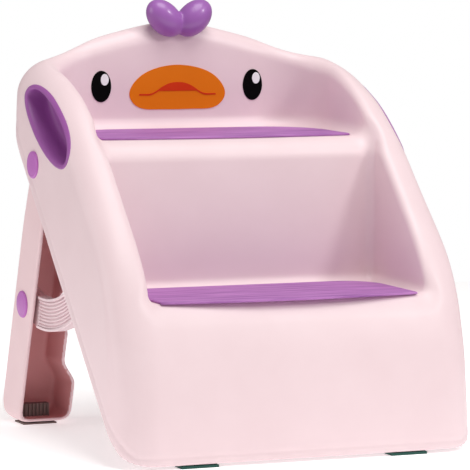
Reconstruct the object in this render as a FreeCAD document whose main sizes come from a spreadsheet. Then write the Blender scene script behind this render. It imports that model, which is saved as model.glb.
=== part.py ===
import FreeCAD, Part
import math
import os
import Sketcher

V = FreeCAD.Vector
X_AXIS = V(1, 0, 0)
SIDES = (("left", -1), ("right", 1))

# Folding two-step stool. +X is the child's right when facing the stool, +Y runs from the front of the base
# to the rear legs, +Z is up. The origin is on the floor under the middle of the object's box.

doc = FreeCAD.newDocument("folding_step_stool")
sheet = doc.addObject("Spreadsheet::Sheet", "Dimensions")
DIMENSIONS = {
    # body: outline of the moulding
    "body_half_width": 190.0, "side_flare": 9.7, "ground_gap": 2.5, "wall": 4.0,
    "front_y": -170.0, "rear_y": 169.5, "front_corner": 40.0, "rear_corner": 56.0,
    "front_lean": 12.0, "front_top_z": 146.0,
    "slope_low_y": -136.5, "slope_low_z": 187.0, "slope_top_y": -42.0, "slope_top_z": 307.0,
    "rail_bend_y": 8.0, "rail_bend_z": 336.0, "rail_top_y": 112.5, "rail_top_z": 360.0,
    "head_z": 402.0, "shoulder_z": 362.0, "shoulder_round": 45.0, "crown_z": 409.6, "crown_round": 250.0,
    "back_low_y": -134.0, "back_low_z": 27.0, "back_high_y": 139.0, "back_high_z": 300.0,
    "heel_round": 12.0, "bridge_low_z": 262.0, "bridge_reach": 18.0, "rim_round": 18.0,
    # seat of the steps between the rails
    "cavity_half_width": 146.0, "lower_step_z": 150.0, "upper_step_z": 293.0,
    "riser_low_y": -14.0, "riser_high_y": -8.0, "step_nose": 20.0, "riser_round": 9.0,
    "panel_y": 141.0, "panel_corner": 50.0,
    # mats
    "mat_half_width": 135.0, "mat_depth": 108.0, "mat_thickness": 2.5, "mat_bow": 9.0,
    "lower_mat_y": -141.0, "upper_mat_y": 10.0, "lower_mat_corner": 38.0, "upper_mat_corner": 58.0,
    # hand-hold cups
    "cup_y": 44.5, "cup_z": 305.0, "cup_long": 64.0, "cup_short": 23.0, "cup_tilt": 29.0,
    "cup_depth": 26.0, "cup_wall": 2.2, "cup_rim": 3.5, "cup_proud": 0.8,
    # face
    "eye_x": 84.0, "eye_z": 337.5, "eye_wide": 10.8, "eye_tall": 15.8,
    "glint_right": 3.6, "glint_up": 6.8, "glint_wide": 4.3, "glint_tall": 5.8,
    "beak_z": 336.0, "beak_wide": 53.0, "beak_tall": 22.6, "inlay": 0.6, "film": 0.4,
    # crest
    "crest_y": 140.0, "crest_z": 406.0, "lobe_x": 17.0, "lobe_lean": 45.0,
    "lobe_long": 22.0, "lobe_short": 15.5, "lobe_deep": 15.0,
    # hinge and legs
    "pivot_y": 74.5, "pivot_z": 266.0, "leg_tilt": 16.0, "leg_outer_x": 177.0, "leg_width": 43.0,
    "leg_front": 24.0, "leg_back": 24.5, "leg_wall": 3.5, "leg_top": 20.0, "foot_flare": 14.0,
    "foot_round": 16.0, "beam_top": 24.0, "beam_low": 84.0, "notch_drop": 142.0, "notch_depth": 28.0,
    "pin_radius": 5.0, "pin_clearance": 0.08, "pin_inner_x": 128.0,
    "cap_radius": 13.5, "pivot_cap_proud": 2.4, "leg_cap_proud": 2.0, "washer_radius": 11.0,
    # stays
    "stay_inner": 132.0, "stay_outer": 164.0, "stay_x": 165.0, "stay_thick": 9.0,
    "stay_tip": 33.0, "stay_root": 22.0, "stay_pin_drop": 148.0, "rib_wide": 1.6, "rib_count": 8,
    "flange": 2.6, "flange_proud": 2.2, "rib_proud": 1.0, "collar_radius": 9.0, "bolt_radius": 4.0,
    "bolt_head": 7.0, "bolt_head_thick": 4.5,
    # feet and pads
    "sole": 1.5, "grip_low_x": 137.0, "grip_high_x": 169.5, "grip_front_y": 143.0, "grip_rear_y": 152.5,
    "grip_top_z": 19.0, "grip_ribs": 8, "grip_pitch": 4.0, "sole_low_x": 134.0, "sole_front_y": 129.0,
    "stem_low_x": 138.0, "stem_high_x": 155.0,
    "pad_long": 38.0, "pad_deep": 17.0, "pad_x": 110.0, "pad_lip": 10.0,
    "pad_lip_front": 5.4, "pad_lip_rear": 9.0,
}
for row, (alias, value) in enumerate(DIMENSIONS.items(), start=1):
    sheet.set(f"A{row}", alias)
    sheet.set(f"B{row}", str(value))
    sheet.setAlias(f"B{row}", alias)
doc.recompute()


def dim(alias):
    """The number held by one cell of the sheet."""
    return float(sheet.get(alias))


def set_size(item, name, size):
    """Gives a property its size: a number, or a formula of the sheet's cells."""
    if isinstance(size, str):
        item.setExpression(name, size)
    else:
        setattr(item, name, size)


# ---------------------------------------------------------------- outlines

def round_outline(corners):
    """Edges of a closed outline of (u, v, radius) corners, each corner rounded by a tangent arc."""
    count = len(corners)
    joints = []
    for i, (u, v, radius) in enumerate(corners):
        here = V(u, v, 0)
        before = V(*corners[i - 1][:2], 0) - here
        after = V(*corners[(i + 1) % count][:2], 0) - here
        if radius <= 0:
            joints.append((here, here, None))
            continue
        half = before.getAngle(after) / 2
        reach = radius / math.tan(half)
        before.normalize()
        after.normalize()
        toward = before + after
        toward.normalize()
        middle = here + toward * (radius / math.sin(half) - radius)
        joints.append((here + before * reach, here + after * reach, middle))
    edges = []
    for i, (start, end, middle) in enumerate(joints):
        if middle is not None:
            edges.append(Part.Arc(start, middle, end))
        following = joints[(i + 1) % count][0]
        if (following - end).Length > 1e-6:
            edges.append(Part.LineSegment(end, following))
    return edges


ACROSS = FreeCAD.Placement(V(0, 0, 0), FreeCAD.Rotation(V(0, 1, 0), V(0, 0, 1), V(1, 0, 0), "ZXY"))
FACING = FreeCAD.Placement(V(0, 0, 0), FreeCAD.Rotation(V(1, 0, 0), V(0, 0, 1), V(0, -1, 0), "ZXY"))
BEYOND = 500  # further than any point of the object


def add_prism(name, corners, placement, reach, way=None, both=True):
    """A solid extruded from the rounded outline of the corners, along its normal or along way."""
    outline = doc.addObject("Sketcher::SketchObject", f"{name}_outline")
    for edge in round_outline(corners):
        outline.addGeometry(edge, False)
    outline.Placement = placement
    prism = doc.addObject("Part::Extrusion", name)
    prism.Base = outline
    prism.DirMode = "Custom"
    prism.Dir = way or placement.Rotation.multVec(V(0, 0, 1))
    prism.Solid = True
    set_size(prism, "LengthFwd", reach)
    if both:
        set_size(prism, "LengthRev", reach)
    return prism


def add_common(name, *shapes):
    common = doc.addObject("Part::MultiCommon", name)
    common.Shapes = list(shapes)
    return common


def add_fuse(name, *shapes):
    fuse = doc.addObject("Part::MultiFuse", name)
    fuse.Shapes = list(shapes)
    return fuse


def add_cut(name, base, tool):
    cut = doc.addObject("Part::Cut", name)
    cut.Base = base
    cut.Tool = tool
    return cut


def add_fillet(name, base, radius, chosen):
    """Rounds the edges of base for which chosen(edge) is true."""
    doc.recompute()
    fillet = doc.addObject("Part::Fillet", name)
    fillet.Base = base
    fillet.Edges = [
        (i, radius, radius) for i, edge in enumerate(base.Shape.Edges, start=1) if chosen(edge)
    ]
    return fillet


def add_box(name, low, high):
    box = doc.addObject("Part::Box", name)
    box.Length, box.Width, box.Height = (b - a for a, b in zip(low, high))
    box.Placement = FreeCAD.Placement(V(*low), FreeCAD.Rotation())
    return box


def upright(edge):
    """True for a straight edge along Z."""
    if len(edge.Vertexes) < 2:
        return False
    run = edge.Vertexes[-1].Point - edge.Vertexes[0].Point
    return abs(run.z) > 0.99 * run.Length and run.Length > 1


def ring_sector(name, radii, angles, x_low, thick, side):
    """Part of a flat ring about the pivot, between two angles counted rearwards from straight down."""
    inner, outer_radius = radii
    start, end = angles

    def at(radius, degrees):
        angle = math.radians(degrees)
        return V(dim("pivot_y") + radius * math.sin(angle), dim("pivot_z") - radius * math.cos(angle), 0)

    middle = (start + end) / 2
    outline = doc.addObject("Sketcher::SketchObject", f"{name}_outline")
    for edge in (
        Part.Arc(at(outer_radius, start), at(outer_radius, middle), at(outer_radius, end)),
        Part.LineSegment(at(outer_radius, end), at(inner, end)),
        Part.Arc(at(inner, end), at(inner, middle), at(inner, start)),
        Part.LineSegment(at(inner, start), at(outer_radius, start)),
    ):
        outline.addGeometry(edge, False)
    outline.Placement = FreeCAD.Placement(V(side * x_low, 0, 0), ACROSS.Rotation)
    sector = doc.addObject("Part::Extrusion", name)
    sector.Base = outline
    sector.DirMode = "Custom"
    sector.Dir = V(side, 0, 0)
    sector.Solid = True
    set_size(sector, "LengthFwd", thick)
    return sector


nodes = {}


def keep(name, item):
    """Marks a finished sub-part: its Label is the node's name."""
    item.Label = name
    nodes[name] = item
    return item


# ---------------------------------------------------------------- body shell

def side_corners(inset):
    """Side view of the body, moved inwards by inset and left open below and behind when inset."""
    lean = dim("front_lean") / dim("front_top_z")
    slope = (dim("slope_top_y") - dim("slope_low_y")) / (dim("slope_top_z") - dim("slope_low_z"))
    front_y, front_z = dim("front_y") + inset * math.hypot(1, lean), dim("ground_gap")
    slope_y = dim("slope_low_y") + inset * math.hypot(1, slope) - slope * dim("slope_low_z")
    bend_z = (slope_y - front_y + lean * front_z) / (lean - slope)
    fall = (dim("rail_top_z") - dim("rail_bend_z")) / (dim("rail_top_y") - dim("rail_bend_y"))
    top_z = dim("rail_top_z") - inset - fall * dim("rail_top_y")
    knee_z = (top_z + fall * slope_y) / (1 - fall * slope)
    head_z = dim("head_z") + 10
    rear = dim("rear_y") - inset
    corners = [
        (front_y + lean * (bend_z - front_z), bend_z, 60 - inset),
        (slope_y + slope * knee_z, knee_z, 100 - inset),
        (dim("rail_top_y"), dim("rail_top_z") - inset, 0),
        (dim("rail_top_y") + 18, head_z, 0),
        (rear, head_z, 0),
    ]
    back = (dim("back_high_y") - dim("back_low_y")) / (dim("back_high_z") - dim("back_low_z"))
    back_y = dim("back_low_y") - back * dim("back_low_z")
    if inset:
        below = -20
        return corners + [(rear, below, 0), (front_y + lean * (below - front_z), below, 0)]
    return corners + [
        (rear, (rear - back_y) / back, 20),
        (back_y + back * front_z, front_z, dim("heel_round")),
        (front_y, front_z, 0),
    ]


def bridge_corners():
    """Side view of the strip that closes the body behind the upper step, between its side walls."""
    back = (dim("back_high_y") - dim("back_low_y")) / (dim("back_high_z") - dim("back_low_z"))
    low_z, reach, rear = dim("bridge_low_z"), dim("bridge_reach"), dim("rear_y")
    start_y = dim("back_high_y") + back * (low_z - dim("back_high_z"))
    full_z = dim("upper_step_z")
    full_y = dim("back_high_y") + back * (full_z - dim("back_high_z")) + reach
    rear_z = full_z + (rear - full_y) / back
    top_z = rear_z + 20
    return [(start_y, low_z, 0), (full_y, full_z, 0), (rear, rear_z, 0), (rear, top_z, 0),
            (start_y, top_z, 0)]


def front_corners(inset, low):
    """Front view of the body, moved inwards by inset, with the arched top of the headboard."""
    foot = dim("body_half_width") - inset
    side = foot - dim("side_flare")
    shoulder = (dim("shoulder_z") - inset, dim("shoulder_round") - inset)
    crown = (0, dim("crown_z") - inset, dim("crown_round") - inset)
    return [(-foot, low, 0), (foot, low, 0), (side, *shoulder), crown, (-side, *shoulder)]


def add_ridge_prism(name, inset):
    """A long block along the sloping rails whose two front edges carry the rails' rounding."""
    run = V(0, dim("slope_top_y") - dim("slope_low_y"), dim("slope_top_z") - dim("slope_low_z"))
    run.normalize()
    half, depth = dim("body_half_width") - inset, BEYOND
    edge = dim("rim_round") - inset
    turned = FreeCAD.Rotation(V(1, 0, 0), V(0, 0, 1), run, "ZXY")
    start = V(0, dim("slope_low_y"), dim("slope_low_z")) + turned.multVec(V(0, 1, 0)) * inset
    corners = [(-half, 0, edge), (half, 0, edge), (half, depth, 0), (-half, depth, 0)]
    if turned.multVec(V(0, 1, 0)).y < 0:
        corners = [(u, -v, radius) for u, v, radius in corners]
        start = V(0, dim("slope_low_y"), dim("slope_low_z")) - turned.multVec(V(0, 1, 0)) * inset
    return add_prism(name, corners, FreeCAD.Placement(start, turned), BEYOND)


def add_envelope(name, inset, low):
    """The body's outer form, or its inner form when inset."""
    lean = dim("front_lean") / dim("front_top_z")
    width = dim("body_half_width") - inset
    corner = dim("front_corner") - inset
    front = dim("front_y") + inset
    side = add_prism(f"{name}_side", side_corners(inset), ACROSS, "Dimensions.body_half_width + 20")
    if not inset:
        bridge = add_prism(f"{name}_bridge", bridge_corners(), ACROSS, "Dimensions.cavity_half_width")
        side = add_fuse(f"{name}_side_and_bridge", side, bridge)
    view = add_prism(f"{name}_view", front_corners(inset, low), FACING, BEYOND)
    base_y = front + lean * (low - dim("ground_gap"))
    plan = add_prism(
        f"{name}_plan",
        [(-width, base_y, corner), (width, base_y, corner), (width, BEYOND, 0), (-width, BEYOND, 0)],
        FreeCAD.Placement(V(0, 0, low), FreeCAD.Rotation()),
        BEYOND, way=V(0, lean, 1), both=False,
    )
    rear, round_rear = dim("rear_y") - inset, dim("rear_corner") - inset
    back = add_prism(
        f"{name}_back",
        [(-width, -BEYOND, 0), (width, -BEYOND, 0), (width, rear, round_rear), (-width, rear, round_rear)],
        FreeCAD.Placement(V(0, 0, low - 5), FreeCAD.Rotation()), BEYOND, both=False,
    )
    ridge = add_ridge_prism(f"{name}_ridge", inset)
    return add_common(name, side, view, plan, back, ridge)


def add_cavity(name, grow):
    """The stepped space between the rails, grown by the wall thickness for the inner form."""
    half = dim("cavity_half_width") + grow
    lean = dim("front_lean") / dim("front_top_z")
    low_z, high_z = dim("lower_step_z") - grow, dim("upper_step_z") - grow
    nose = dim("step_nose") - grow
    tangent_z = low_z - nose * (1 - lean)
    front = dim("front_y") + grow + lean * (tangent_z - dim("ground_gap"))
    riser = (dim("riser_high_y") - dim("riser_low_y")) / (dim("upper_step_z") - dim("lower_step_z"))
    riser_y = dim("riser_low_y") + grow
    top = 480
    corners = [
        (front - 60, tangent_z, 0),
        (front, tangent_z, 0),
        (front + lean * (low_z - tangent_z), low_z, nose),
        (riser_y, low_z, dim("riser_round") + grow),
        (riser_y + riser * (high_z - low_z), high_z, nose),
        (dim("riser_high_y") + 70, high_z, 0),
        (dim("riser_high_y") + 70, top, 0),
        (front - 60, top, 0),
    ]
    steps = add_prism(f"{name}_steps", corners, ACROSS, f"Dimensions.cavity_half_width + {grow}")
    block = add_box(
        f"{name}_block", (-half, dim("riser_high_y") + 30, high_z), (half, dim("panel_y") + grow, top)
    )
    rear = dim("panel_y") + grow
    bay = add_fillet(
        f"{name}_bay", block, dim("panel_corner") + grow,
        lambda edge: upright(edge) and edge.Vertexes[0].Point.y > rear - 1,
    )
    return add_fuse(name, steps, bay)


outer = add_envelope("outer", 0, dim("ground_gap"))
cavity = add_cavity("cavity", 0)
solid = add_cut("solid", outer, cavity)
inner = add_envelope("inner", dim("wall"), -20)
inner_cavity = add_cavity("inner_cavity", dim("wall"))
hollow = add_cut("hollow", inner, inner_cavity)
shell = add_cut("shell", solid, hollow)


# ---------------------------------------------------------------- small shapes

def add_rod(name, radius, x_low, x_high, side, y, z):
    """A round bar along X on one side; x_low and x_high are distances from the middle plane."""
    rod = doc.addObject("Part::Cylinder", name)
    set_size(rod, "Radius", radius)
    rod.Height = x_high - x_low
    rod.Placement = FreeCAD.Placement(V(side * x_low, y, z), FreeCAD.Rotation(V(0, 0, 1), V(side, 0, 0)))
    return rod


def leg_point(along, ahead):
    """Y and Z of a point along the leg from the pivot, and ahead of the leg's middle line."""
    tilt = math.radians(dim("leg_tilt"))
    return (
        dim("pivot_y") + along * math.sin(tilt) - ahead * math.cos(tilt),
        dim("pivot_z") - along * math.cos(tilt) - ahead * math.sin(tilt),
    )


def along_at(z, ahead):
    """How far down the leg its line ahead of the middle reaches the height z."""
    tilt = math.radians(dim("leg_tilt"))
    return (dim("pivot_z") - ahead * math.sin(tilt) - z) / math.cos(tilt)


def add_half_prism(name, corners, x_low, reach, side):
    """The (y, z) outline extruded outwards from x_low by reach, on one side of the middle plane."""
    placement = FreeCAD.Placement(V(side * x_low, 0, 0), ACROSS.Rotation)
    return add_prism(name, corners, placement, reach, way=V(side, 0, 0), both=False)


# ---------------------------------------------------------------- body: cup openings and hinge holes

def add_oval(name, grow, x_low, x_high, side):
    """An elliptical block on the hand-hold's axis, between two distances from the middle plane."""
    outline = doc.addObject("Sketcher::SketchObject", f"{name}_outline")
    tilt = math.radians(dim("cup_tilt"))
    centre = V(dim("cup_y"), dim("cup_z"), 0)
    long_way = V(math.cos(tilt), math.sin(tilt), 0)
    short_way = V(-math.sin(tilt), math.cos(tilt), 0)
    long_end = centre + long_way * (dim("cup_long") + grow)
    short_end = centre + short_way * (dim("cup_short") + grow)
    outline.addGeometry(Part.Ellipse(long_end, short_end, centre), False)
    outline.Placement = FreeCAD.Placement(V(min(side * x_low, side * x_high), 0, 0), ACROSS.Rotation)
    oval = doc.addObject("Part::Extrusion", name)
    oval.Base = outline
    oval.DirMode = "Custom"
    oval.Dir = X_AXIS
    oval.Solid = True
    oval.LengthFwd = x_high - x_low
    return oval


side_face = dim("body_half_width") - dim("side_flare") * 0.77
openings = []
for label, side in SIDES:
    openings.append(add_oval(f"cup_hole_{label}", 0, side_face - 8, side_face + 8, side))
    openings.append(
        add_rod(f"pin_hole_{label}", "Dimensions.pin_radius", side_face - 8, side_face + 8, side,
                dim("pivot_y"), dim("pivot_z"))
    )
body = add_cut("body", shell, add_fuse("openings", *openings))
keep("body_shell", body)


# ---------------------------------------------------------------- mats

def add_mat(name, front_y, step_z, corner):
    """An anti-slip mat with a bowed front edge and round rear corners, lying on a step."""
    half, depth, bow = dim("mat_half_width"), dim("mat_depth"), dim("mat_bow")
    rear = front_y + bow + depth
    outline = doc.addObject("Sketcher::SketchObject", f"{name}_outline")
    cut = corner * (1 - math.sqrt(0.5))
    for edge in (
        Part.Arc(V(-half, front_y + bow, 0), V(0, front_y, 0), V(half, front_y + bow, 0)),
        Part.LineSegment(V(half, front_y + bow, 0), V(half, rear - corner, 0)),
        Part.Arc(V(half, rear - corner, 0), V(half - cut, rear - cut, 0), V(half - corner, rear, 0)),
        Part.LineSegment(V(half - corner, rear, 0), V(corner - half, rear, 0)),
        Part.Arc(V(corner - half, rear, 0), V(cut - half, rear - cut, 0), V(-half, rear - corner, 0)),
        Part.LineSegment(V(-half, rear - corner, 0), V(-half, front_y + bow, 0)),
    ):
        outline.addGeometry(edge, False)
    outline.Placement = FreeCAD.Placement(V(0, 0, step_z), FreeCAD.Rotation())
    mat = doc.addObject("Part::Extrusion", name)
    mat.Base = outline
    mat.DirMode = "Custom"
    mat.Dir = V(0, 0, 1)
    mat.Solid = True
    mat.setExpression("LengthFwd", "Dimensions.mat_thickness")
    return mat


keep("lower_step_mat", add_mat(
    "lower_mat", dim("lower_mat_y"), dim("lower_step_z"), dim("lower_mat_corner")))
keep("upper_step_mat", add_mat(
    "upper_mat", dim("upper_mat_y"), dim("upper_step_z"), dim("upper_mat_corner")))


# ---------------------------------------------------------------- hand-hold cups

for label, side in SIDES:
    mouth = side_face + dim("cup_proud")
    bottom = side_face - dim("cup_depth")
    rim_low = side_face + 0.7
    rim = add_oval(f"cup_rim_{label}", dim("cup_rim"), rim_low, mouth + 1, side)
    bowl = add_oval(f"cup_bowl_{label}", 0, bottom, mouth + 0.5, side)
    space = add_oval(f"cup_space_{label}", -dim("cup_wall"), bottom + dim("cup_wall"), mouth + 5, side)
    cup = add_cut(f"cup_{label}", add_fuse(f"cup_outside_{label}", rim, bowl), space)
    keep(f"handle_cup_{label}", cup)


# ---------------------------------------------------------------- face

def add_oval_inlay(name, centre_x, centre_z, wide, tall, thickness, behind=0.0):
    """A thin oval of the face, on the front of the headboard."""
    outline = doc.addObject("Sketcher::SketchObject", f"{name}_outline")
    centre = V(centre_x, centre_z, 0)
    outline.addGeometry(Part.Ellipse(centre + V(0, tall, 0), centre + V(wide, 0, 0), centre), False)
    outline.Placement = FreeCAD.Placement(V(0, dim("panel_y") - behind, 0), FACING.Rotation)
    inlay = doc.addObject("Part::Extrusion", name)
    inlay.Base = outline
    inlay.DirMode = "Custom"
    inlay.Dir = V(0, -1, 0)
    inlay.Solid = True
    set_size(inlay, "LengthFwd", thickness)
    return inlay


inlay = dim("inlay")
beak_x, beak_z, beak_tall = dim("beak_wide"), dim("beak_z"), dim("beak_tall")
half_beak = [(0.56, 0.77), (0.9, 0.23), (1.0, -0.33), (0.87, -0.8), (0.42, -0.99)]
beak_points = [V(0, beak_z + beak_tall, 0)]
beak_points += [V(beak_x * u, beak_z + beak_tall * v, 0) for u, v in half_beak]
beak_points += [V(0, beak_z - beak_tall, 0)]
beak_points += [V(-beak_x * u, beak_z + beak_tall * v, 0) for u, v in reversed(half_beak)]
beak_curve = Part.BSplineCurve()
beak_curve.interpolate(beak_points, PeriodicFlag=True)
beak_outline = doc.addObject("Part::Feature", "beak_outline")
beak_outline.Shape = Part.Face(Part.Wire(beak_curve.toShape()))
beak_outline.Placement = FreeCAD.Placement(V(0, dim("panel_y"), 0), FACING.Rotation)
beak = doc.addObject("Part::Extrusion", "beak_plate")
beak.Base = beak_outline
beak.DirMode = "Custom"
beak.Dir = V(0, -1, 0)
beak.Solid = True
beak.setExpression("LengthFwd", "Dimensions.inlay")
keep("beak", beak)


def smooth_edge(points):
    """A curve through (x, height above the beak's middle) points."""
    curve = Part.BSplineCurve()
    curve.interpolate([V(x, beak_z + height, 0) for x, height in points])
    return curve.toShape()


# the mouth: a low dome that runs out into a thin line at each side
half_upper = [(42.4, -6.6), (36, -6.6), (30, -6.3), (25, -4.5), (19.5, -1), (13, 2.6), (6.5, 4.6)]
upper_line = half_upper + [(0, 5.1)] + [(-x, height) for x, height in reversed(half_upper)]
lower_end = [(42.4, -8.2), (36, -8.2), (30, -8.0), (25.5, -6.4), (21, -3.8)]
other_end = [(-x, height) for x, height in reversed(lower_end)]


def straight(start, end):
    return Part.LineSegment(V(start[0], beak_z + start[1], 0), V(end[0], beak_z + end[1], 0)).toShape()


mouth_outline = doc.addObject("Part::Feature", "mouth_outline")
mouth_outline.Shape = Part.Face(Part.Wire([
    smooth_edge(upper_line), straight(upper_line[-1], other_end[-1]), smooth_edge(other_end[::-1]),
    straight(other_end[0], lower_end[-1]), smooth_edge(lower_end[::-1]),
    straight(lower_end[0], upper_line[0]),
]))
mouth_outline.Placement = FreeCAD.Placement(V(0, dim("panel_y") - inlay, 0), FACING.Rotation)
mouth_plate = doc.addObject("Part::Extrusion", "mouth_plate")
mouth_plate.Base = mouth_outline
mouth_plate.DirMode = "Custom"
mouth_plate.Dir = V(0, -1, 0)
mouth_plate.Solid = True
mouth_plate.setExpression("LengthFwd", "Dimensions.film")
keep("mouth", mouth_plate)
for label, side in SIDES:
    eye_x = side * dim("eye_x")
    keep(f"eye_{label}", add_oval_inlay(
        f"eye_oval_{label}", eye_x, dim("eye_z"), dim("eye_wide"), dim("eye_tall"), "Dimensions.inlay"))
    keep(f"eye_glint_{label}", add_oval_inlay(
        f"glint_oval_{label}", eye_x + dim("glint_right"), dim("eye_z") + dim("glint_up"),
        dim("glint_wide"), dim("glint_tall"), "Dimensions.film", behind=inlay))


# ---------------------------------------------------------------- crest

lobes = []
for label, side in SIDES:
    lobe = doc.addObject("Part::Ellipsoid", f"lobe_{label}")
    lobe.setExpression("Radius1", "Dimensions.lobe_short")
    lobe.setExpression("Radius2", "Dimensions.lobe_long")
    lobe.setExpression("Radius3", "Dimensions.lobe_deep")
    lean = FreeCAD.Rotation(V(0, 1, 0), -side * dim("lobe_lean"))
    lobe.Placement = FreeCAD.Placement(V(side * dim("lobe_x"), dim("crest_y"), dim("crest_z")), lean)
    lobes.append(lobe)
keep("crest", add_cut("crest_seated", add_fuse("crest_lobes", *lobes), solid))


# ---------------------------------------------------------------- hinge

for label, side in SIDES:
    at = (side, dim("pivot_y"), dim("pivot_z"))
    keep(f"pivot_pin_{label}", add_rod(
        f"pivot_rod_{label}", "Dimensions.pin_radius", dim("pin_inner_x"), side_face - 0.2, *at))
    washer = add_rod(f"washer_disc_{label}", "Dimensions.washer_radius", dim("leg_outer_x") + 0.3,
                     dim("leg_outer_x") + 1.1, *at)
    bore = add_rod(f"washer_bore_{label}", "Dimensions.pin_radius", dim("leg_outer_x") - 1,
                   dim("leg_outer_x") + 3, *at)
    keep(f"pivot_washer_{label}", add_cut(f"washer_{label}", washer, bore))
    clip_x = dim("leg_outer_x") - dim("leg_width")
    clip = add_rod(f"clip_disc_{label}", "Dimensions.pin_radius + 4", clip_x - 2.6, clip_x - 0.6, *at)
    clip_bore = add_rod(f"clip_bore_{label}", "Dimensions.pin_radius", clip_x - 5, clip_x + 2, *at)
    keep(f"pivot_clip_{label}", add_cut(f"clip_{label}", clip, clip_bore))


def add_cap(name, proud, x_low, side, y, z):
    """A round button with a rounded rim, standing proud of the face at x_low."""
    disc = add_rod(f"{name}_disc", "Dimensions.cap_radius", x_low, x_low + proud, side, y, z)

    def outer_rim(edge):
        """True for the circle on the face that is furthest out."""
        box = edge.BoundBox
        return box.XLength < 0.01 and abs(abs(box.XMin) - x_low - proud) < 0.01

    return add_fillet(f"{name}_round", disc, 1.2, outer_rim)


for label, side in SIDES:
    keep(f"pivot_cap_{label}", add_cap(
        f"pivot_button_{label}", dim("pivot_cap_proud"), side_face + 0.8, side,
        dim("pivot_y"), dim("pivot_z")))
    keep(f"leg_cap_{label}", add_cap(
        f"leg_button_{label}", dim("leg_cap_proud"), dim("leg_outer_x"), side,
        *leg_point(dim("stay_pin_drop"), 0)))


# ---------------------------------------------------------------- leg frame

def add_leg(label, side):
    """One channel-section leg, open at the front, with its pivot boss and flared foot."""
    top, front, rear = dim("leg_top"), dim("leg_front"), dim("leg_back")
    wall, sole = dim("leg_wall"), dim("sole")
    outer_x = dim("leg_outer_x")
    inner_x = outer_x - dim("leg_width")
    foot_x = inner_x - dim("foot_flare")
    outside = [
        (*leg_point(-top, top), top), (*leg_point(-top, -top), top), (*leg_point(70, -rear), 30),
        (*leg_point(along_at(sole, -rear), -rear), 18), (*leg_point(along_at(sole, front), front), 5),
        (*leg_point(70, front), 30),
    ]
    profile = add_half_prism(f"leg_side_{label}", outside, foot_x - 5,
                             "Dimensions.leg_width + Dimensions.foot_flare + 5", side)
    foot = dim("foot_round")
    front_view = [
        (side * (outer_x), 330, 0), (side * outer_x, sole, 7), (side * foot_x, sole, foot),
        (side * foot_x, sole + 44, 14), (side * inner_x, sole + 62, 14), (side * inner_x, 330, 0),
    ]
    view = add_prism(f"leg_view_{label}", front_view, FACING, BEYOND)
    solid_leg = add_common(f"leg_solid_{label}", profile, view)
    inside = [
        (*leg_point(34, 80), 0), (*leg_point(34, -rear + wall), 8),
        (*leg_point(along_at(sole + wall, -rear + wall), -rear + wall), 14),
        (*leg_point(along_at(sole + wall, 80), 80), 0),
    ]
    room = add_half_prism(f"leg_room_side_{label}", inside, foot_x,
                          "Dimensions.leg_width + Dimensions.foot_flare - Dimensions.leg_wall", side)
    room_view = [
        (side * (outer_x - wall), 330, 0), (side * (outer_x - wall), sole + wall, 4),
        (side * (foot_x + wall), sole + wall, foot - wall),
        (side * (foot_x + wall), sole + 44 - 1, 11), (side * (inner_x + wall), sole + 62 - 1, 14),
        (side * (inner_x + wall), 330, 0),
    ]
    room_front = add_prism(f"leg_room_view_{label}", room_view, FACING, BEYOND)
    leg_room = add_common(f"leg_room_{label}", room, room_front)
    return solid_leg, leg_room


def add_beam():
    """The channel-section beam that joins the legs behind the upper step, and the room inside it."""
    front, rear, wall = dim("leg_front") - 4, dim("leg_back"), dim("leg_wall")
    top, low = dim("beam_top"), dim("beam_low")
    outside = [
        (*leg_point(top, front), 4), (*leg_point(top, -rear + 3), 10), (*leg_point(low, -rear), 6),
        (*leg_point(low, front), 4),
    ]
    inside = [
        (*leg_point(top + wall, front + 30), 0), (*leg_point(top + wall, -rear + wall + 3), 7),
        (*leg_point(low - wall, -rear + wall), 4), (*leg_point(low - wall, front + 30), 0),
    ]
    reach = "Dimensions.leg_outer_x - Dimensions.leg_width"
    beam_solid = add_prism("beam_solid", outside, ACROSS, f"{reach} + Dimensions.leg_wall")
    return beam_solid, add_prism("beam_room", inside, ACROSS, reach)


beam, beam_room = add_beam()
masses, rooms = [beam], [beam_room]
for label, side in SIDES:
    leg, leg_room = add_leg(label, side)
    masses.append(leg)
    rooms.append(leg_room)
    hole = "Dimensions.pin_radius + Dimensions.pin_clearance"
    rooms.append(add_rod(f"leg_bore_{label}", hole, 100, 200, side, dim("pivot_y"), dim("pivot_z")))
    rooms.append(add_rod(f"stay_bore_{label}", "Dimensions.bolt_radius", dim("leg_outer_x") - 6, 200, side,
                         *leg_point(dim("stay_pin_drop"), 0)))
    inner_x = dim("leg_outer_x") - dim("leg_width")
    notch, depth, front = dim("notch_drop"), dim("notch_depth"), dim("leg_front")
    relief = [
        (*leg_point(notch - depth - 4, front + 4), 0), (*leg_point(notch, front - depth), 6),
        (*leg_point(notch + depth + 4, front + 4), 0),
    ]
    rooms.append(add_half_prism(f"leg_notch_{label}", relief, inner_x - 12, 18, side))
    stem = (side * dim("stem_low_x"), side * dim("stem_high_x"))
    rooms.append(add_box(f"sole_slot_{label}", (min(stem), dim("grip_front_y") + 1, 0),
                         (max(stem), dim("grip_rear_y") - 1, 8)))
frame = add_cut("frame", add_fuse("frame_mass", *masses), add_fuse("frame_rooms", *rooms))
keep("leg_frame", frame)


# ---------------------------------------------------------------- arc stays

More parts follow.
